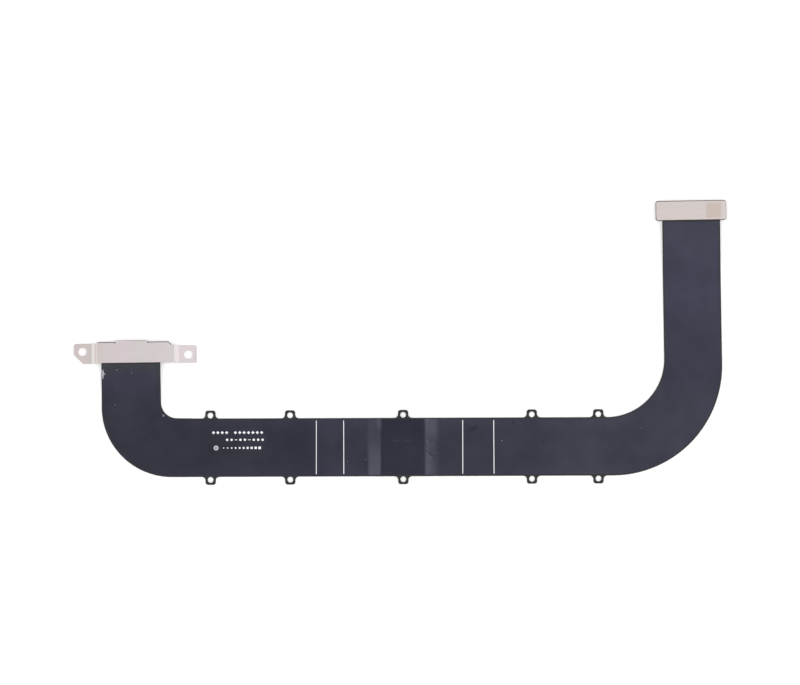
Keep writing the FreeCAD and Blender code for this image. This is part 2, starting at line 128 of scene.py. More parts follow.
HALF_STRAP = STRAP_WIDTH / 2
LEAN = math.radians(RIGHT_LEG_LEAN)
LEG_FOOT = RIGHT_LEG_REACH - RIGHT_LEG_WIDTH / 2 / math.cos(LEAN) - HALF_STRAP * math.tan(LEAN)
LEFT_HEAD_X = -LEFT_LEG_REACH - LEFT_HEAD_STEP
LEFT_PLUG_X = LEFT_HEAD_X + PLUG_LENGTH / 2 + LEFT_HEAD_MARGIN
TURN = math.radians(LEFT_HEAD_TURN)


def turned_head(x, y):
    """A point of the left head and its bracket, which sit a little turned on the leg."""
    x, y = x - LEFT_PLUG_X, y - LEFT_PLUG_Y
    return (LEFT_PLUG_X + x * math.cos(TURN) - y * math.sin(TURN),
            LEFT_PLUG_Y + x * math.sin(TURN) + y * math.cos(TURN))


film_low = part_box("flex_circuit")[0]
SHIFT = Vector((film_low[0] / MM - turned_head(LEFT_HEAD_X, LEFT_PLUG_Y + LEFT_HEAD_DEPTH / 2)[0],
                film_low[1] / MM + HALF_STRAP + TAB_REACH, 0))


def to_frame(points):
    """Points drawn about the hinge, in millimetres, as metres in the part's frame."""
    return (np.asarray(points, float) + np.array(SHIFT)) * MM


def leg_to_drawing(x, y):
    """A point of the right leg's own frame, with Y along the leg, in the drawing."""
    return LEG_FOOT + x * math.cos(LEAN) - y * math.sin(LEAN), x * math.sin(LEAN) + y * math.cos(LEAN)


def new_object(name, data):
    """An object linked into the scene."""
    made = bpy.data.objects.new(name, data)
    bpy.context.scene.collection.objects.link(made)
    return made


# ---------------------------------------------------------------- materials


def linear(code):
    """An sRGB hex colour as linear red, green, blue and alpha."""
    out = []
    for i in (1, 3, 5):
        c = int(code[i:i + 2], 16) / 255
        out.append(c / 12.92 if c <= 0.04045 else ((c + 0.055) / 1.055) ** 2.4)
    return (*out, 1.0)


def node(tree, kind, settings=None, inputs=None):
    """Adds a node with its settings; an input is a value or another node's output socket."""
    made = tree.nodes.new(kind)
    for key, value in (settings or {}).items():
        setattr(made, key, value)
    for key, value in (inputs or {}).items():
        if isinstance(value, bpy.types.NodeSocket):
            tree.links.new(value, made.inputs[key])
        else:
            made.inputs[key].default_value = value
    return made


def maths(tree, operation, *values):
    return node(tree, "ShaderNodeMath", {"operation": operation}, dict(enumerate(values))).outputs[0]


def remap(tree, value, low, high, to_low=0.0, to_high=1.0, smooth=False):
    """A value from one range in another, evenly or eased at both ends."""
    return node(tree, "ShaderNodeMapRange", {"interpolation_type": "SMOOTHSTEP" if smooth else "LINEAR"},
                {"Value": value, "From Min": low, "From Max": high, "To Min": to_low, "To Max": to_high}).outputs[0]


def blend(tree, share, first, second, how="MIX"):
    return node(tree, "ShaderNodeMix", {"data_type": "RGBA", "blend_type": how},
                {0: share, 6: first, 7: second}).outputs[2]


def ramp(tree, factor, stops):
    """Tones by a factor; each stop is a place and an sRGB hex colour or a linear grey."""
    made = node(tree, "ShaderNodeValToRGB", {}, {"Fac": factor})
    elements = made.color_ramp.elements
    while len(elements) < len(stops):
        elements.new(0.5)
    for element, (place, tone) in zip(elements, stops):
        element.position = place
        element.color = linear(tone) if isinstance(tone, str) else (tone, tone, tone, 1.0)
    return made.outputs["Color"]


def split_place(tree):
    """The place on the piece, in metres, whole and as X, Y and Z."""
    place = node(tree, "ShaderNodeTexCoord").outputs["Object"]
    return place, node(tree, "ShaderNodeSeparateXYZ", {}, {"Vector": place}).outputs


def mottle(tree, place, scale, detail, more=None):
    """Noise between 0 and 1, of so many waves to the metre."""
    return node(tree, "ShaderNodeTexNoise", {},
                {"Vector": place, "Scale": scale, "Detail": detail, **(more or {})}).outputs["Fac"]


def bumped(tree, height, strength):
    return node(tree, "ShaderNodeBump", {},
                {"Height": height, "Strength": strength, "Distance": BUMP_DEPTH}).outputs["Normal"]


def flatness(tree):
    """How far a face looks up or down in the part's own frame: 1 on the flats, 0 on the side walls."""
    normal = node(tree, "ShaderNodeTexCoord").outputs["Normal"]
    return maths(tree, "ABSOLUTE", node(tree, "ShaderNodeSeparateXYZ", {}, {"Vector": normal}).outputs["Z"])


def new_material(name):
    made = bpy.data.materials.new(name)
    made.use_nodes = True
    made.node_tree.nodes.clear()
    return made, made.node_tree


def finish_material(tree, shader):
    node(tree, "ShaderNodeOutputMaterial", {}, {"Surface": shader.outputs[0]})


def principled(tree, colour, roughness, more):
    finish_material(tree, node(tree, "ShaderNodeBsdfPrincipled", {},
                               {"Base Color": colour, "Roughness": roughness, **more}))


BUMP_DEPTH = 0.00001         # metres
GRAIN = 9000.0               # waves to the metre of the finest grain on film and plating
TONE_HALF = (0.06, 0.026)    # half length and half width, in metres, that the tones below are spread over
# painted light: film tones along X of the whole part, and up each leg, lighter and bluer towards the far leg and next
# to the heads, as the light falls
FILM_PAINTED_LIGHT_ALONG_STRAP = ((0.05, "#2b2b39"), (0.19, "#2b2b38"), (0.22, "#2e2e3a"), (0.29, "#2f2f3b"), (0.34, "#2b2b39"),
                    (0.4, "#323240"), (0.5, "#31313e"), (0.73, "#32323f"), (0.79, "#383844"), (0.84, "#30303d"))
FILM_PAINTED_LIGHT_UP_LEFT_LEG = ((0.24, "#2e2e3a"), (0.33, "#31313e"), (0.36, "#2e2e3f"), (0.39, "#363643"), (0.43, "#3e3e43"))
FILM_PAINTED_LIGHT_UP_RIGHT_LEG = ((0.1, "#333341"), (0.22, "#343442"), (0.38, "#2e2e3e"), (0.5, "#313142"), (0.7, "#353548"),
                     (0.9, "#39394a"))
# painted shade: darker film tone over the hinge's middle stretch
FILM_SHADE_OVER_HINGE = "#242431"
# painted light and shade along X of the whole part: the bracket's left ear, its plate and its right ear, and the cap,
# with painted highlights on the joggles, painted dark lines beside them and a lighter right ear
PLATE_PAINTED_LIGHT_ALONG = ((0.0228, "#e0d6d4"), (0.0245, "#d6cfcb"), (0.026, "#dbd5d1"), (0.0276, "#ffffff"), (0.0292, "#ffffff"),
               (0.0303, "#f4f0ed"), (0.0314, "#e3ddd9"), (0.0323, "#ccc6c3"), (0.0336, "#ccc6c3"), (0.0345, "#e3d9d7"),
               (0.05, "#e6ddde"), (0.08, "#e9dde1"), (0.1, "#e5e0de"), (0.12, "#e9dfe1"), (0.1475, "#eae3e3"),
               (0.1493, "#eae3e3"), (0.15, "#c9c4c6"), (0.1519, "#cdc8ca"), (0.1527, "#f4eef1"), (0.157, "#f3edf0"),
               (0.159, "#f3e9eb"), (0.3, "#f3e9eb"), (0.88, "#e3dad7"))
# painted shade: how dark the plating is painted by how flat the face lies, on the bent bracket and on the drawn cap
BRACKET_WALL_SHADE = ((0.55, "#7c7271"), (0.7, "#e4e0e0"), (0.84, "#f4f0f0"), (0.96, "#ffffff"))
CAP_WALL_SHADE = ((0.83, "#766c6b"), (0.95, "#ffffff"))
PATCH_TONES = ((0.0, "#d9c8c4"), (0.35, "#d8c9c1"), (1.0, "#dacbc0"))


def shield_film():
    """Blue-black polyimide shield film: satin, faintly clouded, with painted light and shade: darker where it runs over
    the hinge, lighter towards the far leg, next to the heads and along the strap's long edges.
    """
    material, tree = new_material("shield_film")
    place, split = split_place(tree)
    # lamination leaves clouds some 5 mm across, with finer mottling of about 1 mm
    cloud = mottle(tree, place, 190.0, 4.0, {"Roughness": 0.55})
    # painted light: the film is painted lighter and bluer towards the far leg, as a gradient of the light from the
    # upper right, and lighter on the near leg next to its head, as a painted glow below the bracket
    along = remap(tree, split["X"], -TONE_HALF[0], TONE_HALF[0])
    tone = ramp(tree, along, FILM_PAINTED_LIGHT_ALONG_STRAP)
    # painted light: the film is painted paler towards the strap's long edges, for the light they catch
    off_line = maths(tree, "ABSOLUTE", maths(tree, "SUBTRACT", split["Y"], float(SHIFT.y) * MM))
    tone = blend(tree, 1.0, tone, remap(tree, off_line, 0.0022, 0.0054, 1.0, 1.2, smooth=True), "MULTIPLY")
    up = remap(tree, split["Y"], -TONE_HALF[1], TONE_HALF[1])
    for stops, strap_end, leg_start in ((FILM_PAINTED_LIGHT_UP_LEFT_LEG, -0.040, -0.046), (FILM_PAINTED_LIGHT_UP_RIGHT_LEG, 0.040, 0.050)):
        on_leg = remap(tree, split["X"], strap_end, leg_start, smooth=True)
        tone = blend(tree, on_leg, tone, ramp(tree, up, stops))
    tone = blend(tree, 1.0, tone, ramp(tree, cloud, ((0.3, "#e9e9e9"), (0.7, "#ffffff"))), "MULTIPLY")
    # painted shade: the stretch between the pressed creases is painted darker, for the light it does not take
    off_middle = maths(tree, "ABSOLUTE", maths(tree, "SUBTRACT", split["X"], float(SHIFT.x) * MM))
    shade_over_hinge = remap(tree, off_middle, 0.0039, 0.0043, 1.0, 0.0, smooth=True)
    colour = blend(tree, shade_over_hinge, tone, linear(FILM_SHADE_OVER_HINGE))
    principled(tree, colour, remap(tree, cloud, 0.3, 0.7, 0.19, 0.24),
               {"IOR": 1.6, "Specular Tint": linear("#ecf0ff"),
                "Normal": bumped(tree, mottle(tree, place, GRAIN, 2.0), 0.15)})
    return material


def grained(name, scale, detail, tones, roughness, more, relief=0.0):
    """A plain material whose tone wavers, at so many waves to the metre, with a relief that follows it."""
    material, tree = new_material(name)
    grain = mottle(tree, node(tree, "ShaderNodeTexCoord").outputs["Object"], scale, detail)
    if relief:
        more = {**more, "Normal": bumped(tree, grain, relief)}
    principled(tree, ramp(tree, grain, tones), roughness, more)
    return material


def nickel_plate(name, walls, patch=None):
    """Satin nickel-plated sheet: warm, even, with a faint grain, with painted light and shade along X, and painted
    shade on its pressed and sheared faces.

    The walls say how dark a face is painted by how flat it lies, as painted shade. A patch is the place, half sizes and
    turn of a rectangle, in metres, where the plating was taken off for earthing.
    """
    material, tree = new_material(name)
    place, split = split_place(tree)
    # barrel plating leaves soft clouds of about 1 mm, and the rolled sheet under it faint streaks along X
    rolled = node(tree, "ShaderNodeMapping", {}, {"Vector": place, "Scale": (0.25, 1.0, 1.0)}).outputs[0]
    clouds = ramp(tree, mottle(tree, rolled, 1100.0, 4.0), ((0.25, "#fdfcfc"), (0.75, "#ffffff")))
    # painted light and shade along the sheet: the ears' tones, a highlight on each joggle and a dark line beside it
    painted_light_along = ramp(tree, remap(tree, split["X"], -TONE_HALF[0], TONE_HALF[0]), PLATE_PAINTED_LIGHT_ALONG)
    colour = blend(tree, 1.0, painted_light_along, clouds, "MULTIPLY")
    # painted shade on the side walls and bends, by how flat the face lies
    colour = blend(tree, 1.0, colour, ramp(tree, flatness(tree), walls), "MULTIPLY")
    if patch:
        middle, (half_x, half_y), turn = patch
        own = node(tree, "ShaderNodeMapping", {"vector_type": "TEXTURE"},
                   {"Vector": place, "Location": middle, "Rotation": (0, 0, turn)})
        split = node(tree, "ShaderNodeSeparateXYZ", {}, {"Vector": own.outputs[0]}).outputs
        fade = PATCH_FADE * MM
        in_x, in_y = (remap(tree, maths(tree, "ABSOLUTE", split[axis]), half - fade, half + fade, 1.0, 0.0, smooth=True)
                      for axis, half in (("X", half_x), ("Y", half_y)))
        worn = ramp(tree, remap(tree, split["X"], -half_x, half_x), PATCH_TONES)
        colour = blend(tree, maths(tree, "MULTIPLY", in_x, in_y), colour, worn)
    principled(tree, colour, 0.42, {"Metallic": 1.0, "Normal": bumped(tree, mottle(tree, place, GRAIN, 2.0), 0.1)})
    return material


FILM = shield_film()
# matt black polyimide cover layer, bare on the tabs and in a narrow border round the film, and in a strip in front of
# the bracket and the cap that stands in as painted shadow
COVER = grained("cover_layer", 4000.0, 2.0, ((0.3, "#1d2121"), (0.7, "#242828")), 0.5, {"IOR": 1.45})
# screen-printed white epoxy ink, matt, a little uneven in thickness
INK = grained("white_ink", 5000.0, 2.0, ((0.3, "#f8f8fd"), (0.7, "#fdfdff")), 0.6, {"IOR": 1.5})
# shield film rubbed grey where fingers and tools have touched it; the same finish makes painted highlight lines along
# the strap's lower edge
RUBBED_AND_HIGHLIGHT = grained("rubbed_film_and_highlight", 6000.0, 2.0, ((0.3, "#262634"), (0.7, "#2e2e3c")), 0.4, {"IOR": 1.5})
# shield film darkened by a trace of oil
SMUDGED = grained("smudged_film", 1500.0, 3.0, ((0.35, "#262633"), (0.65, "#2e2e3c")), 0.22, {"IOR": 1.5})
# dust and chipped film: pale, fibrous, quite matt
LINT = grained("pale_lint", 6000.0, 3.0, ((0.3, "#a5a5ae"), (0.7, "#d8d8de")), 0.8, {"IOR": 1.45})
PLATE = nickel_plate("nickel_plate", BRACKET_WALL_SHADE)
CAP_PLATE = nickel_plate("nickel_plate_cap", CAP_WALL_SHADE,
                         (to_frame([(*leg_to_drawing(PATCH_SPOT[0], RIGHT_PLUG_Y + PATCH_SPOT[1]), 0)])[0],
                          (PATCH_HALF[0] * MM, PATCH_HALF[1] * MM), LEAN))
# thin gold flash over copper alloy, bright but not mirror-like
GOLD = grained("gold_flash", 3000.0, 2.0, ((0.3, "#e0b45c"), (0.7, "#ecc878")), 0.28, {"Metallic": 1.0})
# black glass-filled liquid-crystal polymer, moulded, with faint flow marks
POLYMER = grained("moulded_polymer", 2500.0, 3.0, ((0.3, "#1c1c1c"), (0.7, "#262626")), 0.5, {"IOR": 1.6}, 0.3)

# ---------------------------------------------------------------- outlines


def rounded(corners, radii, step=0.35, least=4):
    """A closed outline with tangent arcs at its corners, as evenly spaced points.

    The step is the usual distance between points, and each arc has at least so many parts.
    """
    out = []
    count = len(corners)
    for i in range(count):
        corner = np.array(corners[i], float)
        before = np.array(corners[i - 1], float) - corner
        after = np.array(corners[(i + 1) % count], float) - corner
        before /= np.linalg.norm(before)
        after /= np.linalg.norm(after)
        angle = math.acos(max(-1.0, min(1.0, float(before @ after))))
        radius = radii[i]
        if radius <= 0 or math.pi - angle < 1e-6:
            out.append(corner)
            continue
        tangent = radius / math.tan(angle / 2)
        bisector = (before + after) / np.linalg.norm(before + after)
        centre = corner + bisector * radius / math.sin(angle / 2)
        a = corner + before * tangent - centre
        b = corner + after * tangent - centre
        start = math.atan2(a[1], a[0])
        sweep = (math.atan2(b[1], b[0]) - start + math.pi) % (2 * math.pi) - math.pi
        pieces = max(least, math.ceil(radius * abs(sweep) / step))
        for k in range(pieces + 1):
            t = start + sweep * k / pieces
            out.append(centre + radius * np.array((math.cos(t), math.sin(t))))
    filled = []
    for i, point in enumerate(out):
        following = out[(i + 1) % len(out)]
        gap = float(np.linalg.norm(following - point))
        if gap < 1e-6:
            continue
        parts = max(1, math.ceil(gap / step - 0.01))
        for k in range(parts):
            filled.append(point + (following - point) * k / parts)
    return np.array(filled)


def inset(loop, distance):
    """The outline moved inwards, towards its left side."""
    ahead = np.roll(loop, -1, 0) - loop
    behind = loop - np.roll(loop, 1, 0)
    ahead /= np.linalg.norm(ahead, axis=1)[:, None]
    behind /= np.linalg.norm(behind, axis=1)[:, None]
    normal = np.stack((-(ahead + behind)[:, 1], (ahead + behind)[:, 0]), 1)
    normal /= np.linalg.norm(normal, axis=1)[:, None]
    left = np.stack((-ahead[:, 1], ahead[:, 0]), 1)
    share = np.clip((normal * left).sum(1), 0.5, 1.0)
    return loop + normal * (distance / share)[:, None]


def right_leg_edges():
    """Foot of the right leg's outer and inner edge on the strap's two edges."""
    outer = leg_to_drawing(RIGHT_LEG_WIDTH / 2, RIGHT_PLUG_Y)
    inner = leg_to_drawing(-RIGHT_LEG_WIDTH / 2, RIGHT_PLUG_Y)
    return (outer[0] + math.tan(LEAN) * (outer[1] + HALF_STRAP), -HALF_STRAP), \
        (inner[0] + math.tan(LEAN) * (inner[1] - HALF_STRAP), HALF_STRAP)


def circuit_outline():
    """Plan of the whole circuit, anticlockwise, with tabs and heads."""
    outer_foot, inner_foot = right_leg_edges()
    head_x = LEFT_HEAD_X + PLUG_LENGTH + 2 * LEFT_HEAD_MARGIN
    front, rear = LEFT_PLUG_Y - LEFT_HEAD_DEPTH / 2, LEFT_PLUG_Y + LEFT_HEAD_DEPTH / 2
    leg_inner = -LEFT_LEG_REACH + LEFT_LEG_WIDTH
    lean_in = math.tan(TURN)
    front_left, front_right = turned_head(LEFT_HEAD_X, front), turned_head(head_x, front)
    corners = [(turned_head(LEFT_HEAD_X, rear), 0), (front_left, 0),
               ((-LEFT_LEG_REACH, front_left[1] + lean_in * (-LEFT_LEG_REACH - front_left[0])), 0),
               ((-LEFT_LEG_REACH - FOOT_SPREAD, -HALF_STRAP), LEFT_OUTER_R)]

    def tab(spot, side):
        half, edge = TAB_WIDTH / 2, HALF_STRAP
        path = [((-half, edge), TAB_ROOT_R), ((-half, edge + TAB_REACH), TAB_CORNER_R),
                ((half, edge + TAB_REACH), TAB_CORNER_R), ((half, edge), TAB_ROOT_R)]
        return [((spot - side * x, side * y), r) for (x, y), r in path]

    for spot in TAB_SPOTS:
        corners += tab(spot, -1)
    corners.append((outer_foot, RIGHT_OUTER_R))
    half_head = PLUG_LENGTH / 2 + RIGHT_HEAD_MARGIN
    low, high = RIGHT_PLUG_Y - RIGHT_HEAD_DEPTH / 2, RIGHT_PLUG_Y + RIGHT_HEAD_DEPTH / 2
    for x, y, r in ((RIGHT_LEG_WIDTH / 2, low, 0), (half_head, low, RIGHT_HEAD_R), (half_head, high, RIGHT_HEAD_R),
                    (-half_head, high, RIGHT_HEAD_R), (-half_head, low, RIGHT_HEAD_R), (-RIGHT_LEG_WIDTH / 2, low, 0)):
        corners.append((leg_to_drawing(x, y), r))
    corners.append((inner_foot, RIGHT_INNER_R))
    for spot in TAB_SPOTS[::-1]:
        corners += tab(spot, 1)
    corners += [((leg_inner + FOOT_SPREAD, HALF_STRAP + INNER_SPREAD), LEFT_INNER_R),
                ((leg_inner, front_right[1] + lean_in * (leg_inner - front_right[0])), 0), (front_right, 0),
                (turned_head(head_x, rear - LEFT_HEAD_CUT), 0), (turned_head(head_x - LEFT_HEAD_CUT, rear), 0)]
    return rounded(*zip(*corners))


def film_outline():
    """Plan of the strap and legs alone, which the shield film follows."""
    outer_foot, inner_foot = right_leg_edges()
    leg_inner = -LEFT_LEG_REACH + LEFT_LEG_WIDTH
    # the film ends short of the bracket and the cap; the dark cover layer shown there is a painted shadow
    left_end, right_end = LEFT_RAMP_END + FILM_PAST_RAMPS, RIGHT_RAMP_END + FILM_PAST_RAMPS
    corners = [((-LEFT_LEG_REACH, left_end), 0), ((-LEFT_LEG_REACH - FOOT_SPREAD, -HALF_STRAP), LEFT_OUTER_R),
               (outer_foot, RIGHT_OUTER_R), (leg_to_drawing(RIGHT_LEG_WIDTH / 2, right_end), 0),
               (leg_to_drawing(-RIGHT_LEG_WIDTH / 2, right_end), 0), (inner_foot, RIGHT_INNER_R),
               ((leg_inner + FOOT_SPREAD, HALF_STRAP + INNER_SPREAD), LEFT_INNER_R), ((leg_inner, left_end), 0)]
    return rounded(*zip(*corners))


def inside(points, loop):
    """Which points lie within a closed outline."""
    x, y = points[:, 0][:, None], points[:, 1][:, None]
    x0, y0 = loop[:, 0], loop[:, 1]
    x1, y1 = np.roll(x0, -1), np.roll(y0, -1)
    crosses = (y0 > y) != (y1 > y)
    with np.errstate(divide="ignore", invalid="ignore"):
        at = x0 + (y - y0) * (x1 - x0) / (y1 - y0)
    return ((crosses & (x < at)).sum(1) % 2).astype(bool)


# ---------------------------------------------------------------- formed height


def bent(s, corners):
    """Height along a formed strip; corners are (place, height, half length of the bend), any of them by point."""
    s = np.asarray(s, float)
    place = [np.broadcast_to(c[0], s.shape) for c in corners]
    height = [np.broadcast_to(c[1], s.shape) for c in corners]
    slope = [(height[i + 1] - height[i]) / (place[i + 1] - place[i]) for i in range(len(corners) - 1)]
    z = height[0] + slope[0] * (s - place[0])
    for i in range(1, len(corners) - 1):
        turn, d, t = slope[i] - slope[i - 1], s - place[i], corners[i][2]
        z = z + turn * np.where(np.abs(d) < t, (d + t) ** 2 / (4 * t), np.maximum(d, 0))
    return z


def leg_height(along, ramp_end, length):
    """Level along a leg that rises from the table to its head."""
    quarter = length / 4
    return bent(along, [(-FAR, 0, 0), (ramp_end - 3 * quarter, 0, RAMP_BEND * quarter),
                        (ramp_end - quarter, HEAD_LEVEL, RAMP_BEND * quarter), (FAR, HEAD_LEVEL, 0)])


def circuit_height(x, y):
    """Level of the circuit's underside over the table."""
    x, y = np.asarray(x, float), np.asarray(y, float)
    left, right = ({size: np.interp(y, HINGE_Y, values) for size, values in side.items()}
                   for side in (LEFT_HINGE, RIGHT_HINGE))
    share = np.clip((x + left["crest"]) / (left["crest"] + right["crest"]), 0, 1)
    rise = left["rise"] + (right["rise"] - left["rise"]) * share
    hang = np.clip((np.abs(y) - HALF_STRAP + DROOP_START) / DROOP_RUN, 0, 1)
    rise = rise * (1 - TAB_DROOP * hang * hang * (3 - 2 * hang))
    left, right = (bent(way * x, [(-FAR, rise, 0), (side["crest"], rise, side["soft"]),
                                  (side["crest"] + side["lip"], rise - side["drop"], LIP_SOFTNESS),
                                  (side["foot"], 0, side["toe"]), (FAR, 0, 0)])
                   for way, side in ((-1, left), (1, right)))
    hinge = np.where(x < 0, left, right)
    up_leg = y * math.cos(LEAN) - (x - LEG_FOOT) * math.sin(LEAN)
    left = leg_height(y, LEFT_RAMP_END, LEFT_RAMP_LENGTH)
    right = leg_height(up_leg, RIGHT_RAMP_END, RIGHT_RAMP_LENGTH)
    return hinge + np.where(x < 0, left, right)


def dents(x, y):
    """Depth of the nail marks across the right slope of the hinge."""
    depth = np.zeros(len(x))
    for (ax, ay), (bx, by) in DENTS:
        length = math.hypot(bx - ax, by - ay)
        along = ((x - ax) * (bx - ax) + (y - ay) * (by - ay)) / length
        off = np.abs((x - ax) * (by - ay) - (y - ay) * (bx - ax)) / length
        ends = np.clip(np.minimum(along, length - along) / DENT_END, 0, 1)
        depth = np.maximum(depth, DENT_DEPTH * ends * np.clip(1 - off / DENT_HALF, 0, 1))
    return depth


def ripple(x, y):
    """Slight unevenness of a film that has been handled: never below the table, none at the heads."""
    # broad waves of about 9 mm, with half as much of waves of about 3 mm
    rough = np.array([noise.noise(Vector((a * 0.11, b * 0.11, 3.0)))
                      + 0.5 * noise.noise(Vector((a * 0.3, b * 0.3, 9.0))) for a, b in zip(x, y)])
    # they die out over the last millimetres before each head
    calm = np.clip((RIGHT_RAMP_END - y) / 6, 0, 1) * np.where(x < 0, np.clip((LEFT_RAMP_END - y) / 4, 0, 1), 1)
    return np.clip(RIPPLE + RIPPLE * rough, 0, RIPPLE_MOST) * calm - dents(x, y)


# ---------------------------------------------------------------- pieces


def add_piece(name, points, faces, slots, indices=None, smooth_under=None):
    """A mesh in the part's frame from drawing points in millimetres, riding on the one body."""
    mesh = bpy.data.meshes.new(name)
    mesh.from_pydata(to_frame(points).tolist(), [], [list(map(int, f)) for f in faces])
    for material in slots:
        mesh.materials.append(material)
    if indices is not None:
        mesh.polygons.foreach_set("material_index", np.asarray(indices, np.int32))
    if smooth_under is not None:
        mesh.polygons.foreach_set("use_smooth", np.ones(len(mesh.polygons), bool))
        mesh.set_sharp_from_angle(angle=math.radians(smooth_under))
    mesh.validate()
    mesh.update()
    piece = new_object(name, mesh)
    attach(piece, "root")
    return piece


def film_sheet():
    """The circuit as one closed skin: film, its step down to the cover layer, and the punched edges."""
    edge = circuit_outline()
    film = film_outline()
    loops = [(edge, 0), (inset(edge, EDGE_EASE), 1), (inset(film, FILM_INSET), 1),
             (inset(film, FILM_INSET + FILM_STEP_RUN), 2)]
    turn = np.linspace(0, 2 * math.pi, HOLE_PARTS, endpoint=False)
    ring = np.stack((np.cos(turn), np.sin(turn)), 1)
    holes = []
    for spot in TAB_SPOTS:
        for side in (1, -1):
            centre = np.array((spot, side * (HALF_STRAP + TAB_HOLE_OUTSET)))
            holes.append(centre + ring * TAB_HOLE_R)
            loops.append((centre + ring * TAB_HOLE_R, 0))
            loops.append((centre + ring * (TAB_HOLE_R + EDGE_EASE), 1))
    points, ranks, edges = [], [], []
    for loop, rank in loops:
        first = len(points)
        points += loop.tolist()
        ranks += [rank] * len(loop)
        edges += [(first + i, first + (i + 1) % len(loop)) for i in range(len(loop))]
    cuts = np.linspace(-FOLD_LINE_END, FOLD_LINE_END, FOLD_LINE_CUTS)
    lines = [[(way * (np.interp(y, HINGE_Y, side["crest"]) + off), y) for y in cuts]
             for way, side in ((-1, LEFT_HINGE), (1, RIGHT_HINGE)) for off in CREASE_LINES]
    for a, b in DENTS:
        a, b = np.array(a), np.array(b)
        across = np.array((-(b - a)[1], (b - a)[0])) / np.linalg.norm(b - a)
        for off in (-DENT_HALF, 0, DENT_HALF):
            lines.append([tuple(a + (b - a) * t + across * off) for t in np.linspace(0, 1, DENT_CUTS)])
    for line in lines:
        first = len(points)
        points += line
        ranks += [2] * len(line)
        edges += [(first + i, first + i + 1) for i in range(len(line) - 1)]
    # an even grid fills the rest, clear of the points of the outlines and the fold lines
    tree = kdtree.KDTree(len(points))
    for i, p in enumerate(points):
        tree.insert((p[0], p[1], 0), i)
    tree.balance()
    low, high = edge.min(0), edge.max(0)
    rows = np.arange(low[1], high[1], GRID * GRID_ROW)
    grid = np.array([(x + (GRID / 2 if j % 2 else 0), y) for j, y in enumerate(rows)
                     for x in np.arange(low[0], high[0], GRID)])
    grid = grid[inside(grid, edge)]
    grid = np.array([p for p in grid if tree.find((p[0], p[1], 0))[2] > GRID * GRID_CLEAR])
    on_film = inside(grid, loops[3][0])
    points += grid.tolist()
    ranks += np.where(on_film, 2, 1).tolist()
    made = geometry.delaunay_2d_cdt([Vector(p) for p in points], edges, [], 0, 1e-5, True)
    plan = np.array([tuple(v) for v in made[0]])
    rank = np.array([max((ranks[i] for i in ids), default=1) for ids in made[3]])
    faces = np.array(made[2])
    middle = plan[faces].mean(1)
    keep = inside(middle, edge)
    for hole in holes:
        near = np.abs(middle - hole.mean(0)).max(1) < HOLE_ROOM
        keep[near] &= ~inside(middle[near], hole)
    faces, middle = faces[keep], middle[keep]
    film_face = inside(middle, loops[3][0])
    level = circuit_height(plan[:, 0], plan[:, 1]) + ripple(plan[:, 0], plan[:, 1])
    drop = np.choose(rank, [EDGE_EASE + FILM_STEP, FILM_STEP, 0.0])
    count = len(plan)
    # the top, and under it the same faces turned over
    top = np.column_stack((plan, level + THICKNESS - drop))
    base = np.column_stack((plan, level + np.where(rank == 0, EDGE_EASE, 0.0)))
    a, b, c = plan[faces[:, 0]], plan[faces[:, 1]], plan[faces[:, 2]]
    turned = (b - a)[:, 0] * (c - a)[:, 1] - (b - a)[:, 1] * (c - a)[:, 0] < 0
    faces[turned] = faces[turned][:, ::-1]
    all_faces = faces.tolist() + (faces[:, ::-1] + count).tolist()
    indices = np.where(film_face, 0, 1).tolist() * 2
    # punched edges, where a side of a face has no neighbour
    sides = {(f[i], f[(i + 1) % 3]): None for f in faces for i in range(3)}
    walls = [(i, j) for i, j in sides if (j, i) not in sides]
    all_faces += [(i, i + count, j + count, j) for i, j in walls]
    indices += [1] * len(walls)
    piece = add_piece("flex_film", np.vstack((top, base)), all_faces, [FILM, COVER], indices,
                      smooth_under=18)
    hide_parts("flex_circuit")


def printed(name, shapes, material=INK, lift=INK_LIFT):
    """Flat marks: each shape is an outline in the drawing, laid on the film and rooted in it."""
    points, faces = [], []
    for shape in shapes:
        shape = np.asarray(shape, float)
        first, n = len(points), len(shape)
        z = circuit_height(*shape.T) + ripple(*shape.T) + THICKNESS
        points += np.column_stack((shape, z + lift)).tolist() + np.column_stack((shape, z - INK_ROOT)).tolist()
        faces.append([first + i for i in range(n)])
        faces.append([first + n + i for i in range(n)][::-1])
        faces += [(first + i, first + n + i, first + n + (i + 1) % n, first + (i + 1) % n) for i in range(n)]
    add_piece(name, points, faces, [material])


def bar(x0, x1, y0, y1):
    return [(x0, y0), (x1, y0), (x1, y1), (x0, y1)]


def bend_lines():
    """Four thin white lines across the strap, two on each side of the hinge."""
    shapes = []
    for low_x, high_x, width in BEND_LINES:
        cuts = np.linspace(-BEND_LINE_END, BEND_LINE_END, BEND_LINE_CUTS)
        middles = np.linspace(low_x, high_x, BEND_LINE_CUTS)
        for y0, y1, x0, x1 in zip(cuts, cuts[1:], middles, middles[1:]):
            shapes.append([(x0 - width / 2, y0), (x0 + width / 2, y0), (x1 + width / 2, y1), (x1 - width / 2, y1)])
    printed("bend_lines", shapes)


def spot(x, y, half, parts):
    """A solid mark about a middle: four parts make a diamond, many make a dot."""
    return [(x + half * math.cos(2 * math.pi * k / parts), y + half * math.sin(2 * math.pi * k / parts))
            for k in range(parts)]


def ring(x, y, outer, inner, parts=24):
    angles = np.linspace(0, 2 * math.pi, parts + 1)
    rim = [(math.cos(a), math.sin(a)) for a in angles]
    return [[(x + inner * c0, y + inner * s0), (x + outer * c0, y + outer * s0),
             (x + outer * c1, y + outer * s1), (x + inner * c1, y + inner * s1)]
            for (c0, s0), (c1, s1) in zip(rim, rim[1:])]


